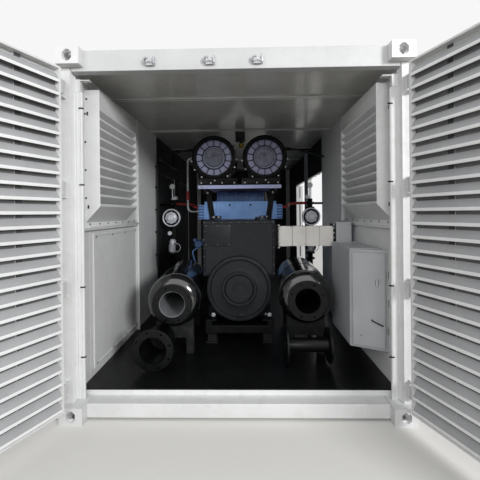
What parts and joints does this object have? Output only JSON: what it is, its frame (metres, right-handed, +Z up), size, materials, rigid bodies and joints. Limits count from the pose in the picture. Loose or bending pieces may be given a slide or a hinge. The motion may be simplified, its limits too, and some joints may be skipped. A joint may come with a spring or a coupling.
{
  "type": "containerised generator set",
  "caption": "Gas engine generator set in a steel freight-size enclosure with louvred end doors, side air intakes, service doorways and floor-stored silencers.",
  "frame": {"origin": "middle of the footprint at ground level, centred between the four bottom lock apertures", "axes": "+X along the container from the louvred doors to the rear wall, +Y to the left seen from the doors, +Z up"},
  "size_m": [7.188, 3.2215, 2.591],
  "materials": {
    "container_paint": "light grey satin enamel on steel",
    "ceiling_enamel": "glossy grey enamel lining",
    "deck_black": "black painted floor plate",
    "galvanised_steel": "zinc-plated lock gear",
    "alternator_paint": "charcoal satin paint",
    "skid_paint": "black satin paint",
    "mount_rubber": "black moulded rubber",
    "engine_blue": "engine enamel, mid blue",
    "engine_dark_blue": "engine enamel, dark blue",
    "cast_iron_dark": "dark painted iron",
    "filter_black": "black enamel canister",
    "filter_mesh": "expanded steel mesh over pleats",
    "shelf_paint": "silver lilac paint",
    "silencer_black": "glossy black stove enamel",
    "stand_paint": "grey green primer",
    "gas_train_black": "black painted pipe",
    "cabinet_paint": "textured grey powder coat",
    "regulator_alloy": "cast aluminium alloy, satin",
    "hose_red": "red silicone hose",
    "duct_cloth": "coated beige duct cloth"
  },
  "bodies": {
    "enclosure": {"corner_castings": "container_paint", "bottom_rails": "container_paint", "cross_members": "container_paint", "intake_sills": "container_paint", "hood_blades": "container_paint", "floor_plate": "deck_black", "front_posts": "container_paint", "door_header": "container_paint", "top_rails": "container_paint", "rear_frame": "container_paint", "left_wall_panels": "container_paint", "right_wall_panels": "container_paint", "wall_lintels": "container_paint", "rear_wall": "container_paint", "roof": "container_paint", "ceiling_lining": "ceiling_enamel", "left_intake_hood": "container_paint", "right_intake_hood": "container_paint", "outer_louvres": "container_paint", "wall_ledges": "container_paint", "wall_hatch": "container_paint", "left_side_doors": "container_paint", "right_side_doors": "container_paint", "skid": "skid_paint", "vibration_mounts": "mount_rubber", "alternator_frame": "alternator_paint", "alternator_end_shield": "alternator_paint", "terminal_box": "alternator_paint", "flywheel_housing": "cast_iron_dark", "engine_block": "engine_blue", "oil_sump": "engine_dark_blue", "cylinder_heads": "engine_blue", "shelf_struts": "skid_paint", "intake_pipes": "filter_black", "regulators": "regulator_alloy", "pressure_gauges": "regulator_alloy", "wall_pipes": "gas_train_black", "gas_hoses": "hose_red", "gas_sensor": "cast_iron_dark", "charge_air_cooler": "engine_blue", "air_plenum": "engine_dark_blue", "filter_shelf": "shelf_paint", "air_filters": "filter_black", "filter_grilles": "filter_mesh", "gas_trains": "gas_train_black", "silencers": "silencer_black", "silencer_stands": "stand_paint", "loose_pipes": "silencer_black", "power_cabinet": "cabinet_paint", "duct_end_box": "cabinet_paint", "cable_duct": "duct_cloth"},
    "left_door": {"left_door_frame": "container_paint", "left_door_blades": "container_paint", "left_door_locks": "galvanised_steel"},
    "right_door": {"right_door_frame": "container_paint", "right_door_blades": "container_paint", "right_door_locks": "galvanised_steel"}
  },
  "joints": [
    {"name": "left_door_hinge", "type": "hinge", "parent": "enclosure", "child": "left_door", "pos_m": [-3.007, 1.199, 0], "axis": [0, 0, 1], "range_deg": [-150, 113]},
    {"name": "right_door_hinge", "type": "hinge", "parent": "enclosure", "child": "right_door", "pos_m": [-3.007, -1.199, 0], "axis": [0, 0, 1], "range_deg": [-110, 153]}
  ]
}
